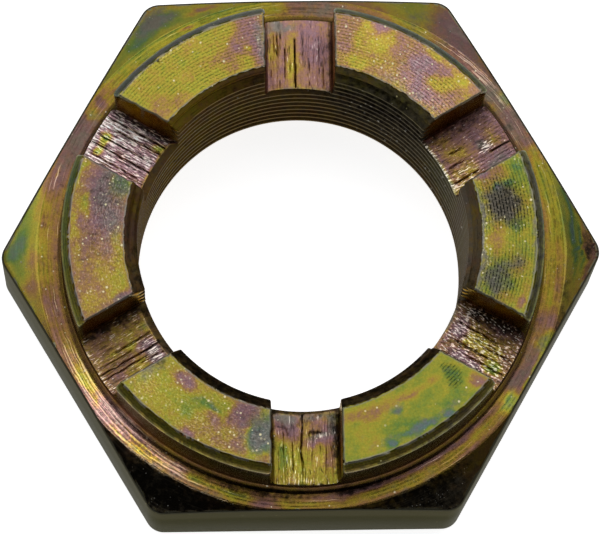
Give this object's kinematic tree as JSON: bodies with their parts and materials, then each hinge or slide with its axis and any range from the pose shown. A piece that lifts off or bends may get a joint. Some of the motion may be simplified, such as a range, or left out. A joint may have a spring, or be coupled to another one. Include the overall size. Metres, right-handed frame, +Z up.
{
  "type": "castle nut",
  "caption": "Thin hexagonal castle nut with a slotted crown and a fine internal thread, locked by a split pin through the slots; zinc plated steel with a yellow iridescent finish.",
  "frame": {"origin": "centre of the bearing face, on the thread's axis", "axes": "+Z up the thread's axis to the top of the crown; +Y square to one flat and through the middle of one slot; +X through a corner"},
  "size_m": [0.0628, 0.055, 0.02],
  "materials": {
    "plated_steel": "turned and milled steel with yellow chromate over zinc, in patches of olive, gold, mauve and green"
  },
  "bodies": {
    "root": {"castle_nut": "plated_steel"}
  },
  "joints": []
}
